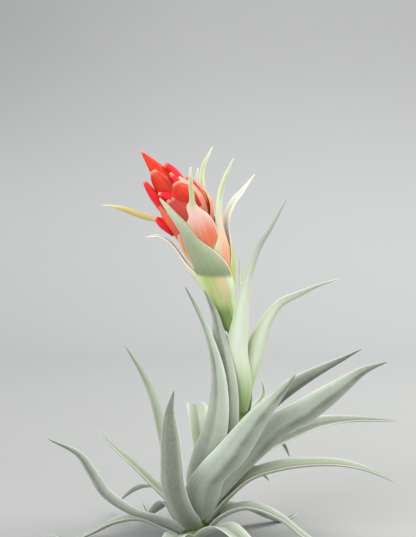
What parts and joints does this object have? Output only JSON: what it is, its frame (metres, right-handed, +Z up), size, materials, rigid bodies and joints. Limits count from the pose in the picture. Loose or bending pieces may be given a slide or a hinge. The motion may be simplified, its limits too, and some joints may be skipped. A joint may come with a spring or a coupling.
{
  "type": "flowering air plant",
  "caption": "Flowering air plant, picked whole: channelled silvery leaves round a leaning stem, a stalk with clasping bracts, and a head of pink and orange bracts with red flowers.",
  "frame": {"origin": "middle of the stem's flat foot, on the surface the plant stands on", "axes": "+Z up, +X towards the side the stem leans to and most leaves reach, -Y towards the viewer of the picture"},
  "size_m": [0.1661, 0.1273, 0.182],
  "materials": {
    "leaf": "matte",
    "stalk_bract": "matte",
    "head_bract": "satin",
    "flower_bract": "satin",
    "petal": "satin",
    "stem": "satin"
  },
  "bodies": {
    "root": {"stem": "stem", "leaf_left_outer": "leaf", "leaf_left_front": "leaf", "leaf_back_low": "leaf", "leaf_left_slim": "leaf", "leaf_right_arching": "leaf", "leaf_right_front": "leaf", "leaf_back_left": "leaf", "leaf_left_tall": "leaf", "leaf_back_drooping": "leaf", "leaf_tall_front": "leaf", "leaf_right_broad": "leaf", "leaf_left_curling": "leaf", "leaf_right_level": "leaf", "leaf_back_broad": "leaf", "leaf_right_upper": "leaf", "leaf_back_rising": "leaf", "leaf_tall_inner": "leaf", "leaf_low_right": "leaf", "leaf_low_back_right": "leaf", "leaf_low_back_left": "leaf", "leaf_low_left": "leaf", "leaf_low_front_left": "leaf", "leaf_low_front_right": "leaf", "stalk_bract_front": "stalk_bract", "stalk_bract_right": "stalk_bract", "stalk_bract_behind": "stalk_bract", "stalk_bract_back": "stalk_bract", "stalk_bract_left": "stalk_bract", "head_bract_front": "head_bract", "head_bract_right": "head_bract", "head_bract_right_front": "head_bract", "head_bract_middle": "head_bract", "head_bract_behind_right": "head_bract", "head_bract_left": "head_bract", "head_bract_left_behind": "head_bract", "head_bract_behind": "head_bract", "head_bract_back": "head_bract", "flower_bract_tip_front": "flower_bract", "flower_bract_tip_back": "flower_bract", "flower_bract_upper_front": "flower_bract", "flower_bract_upper_middle": "flower_bract", "flower_bract_upper_right": "flower_bract", "flower_bract_upper_back": "flower_bract", "flower_bract_left": "flower_bract", "flower_bract_front": "flower_bract", "flower_bract_left_front": "flower_bract", "flower_bract_left_back": "flower_bract", "flower_bract_back": "flower_bract", "flower_bract_right": "flower_bract", "flower_left_upper": "petal", "flower_front": "petal", "flower_left_lower": "petal", "flower_upper_middle": "petal", "flower_tip": "petal", "flower_right": "petal", "flower_left_back": "petal", "flower_back": "petal"}
  },
  "joints": []
}
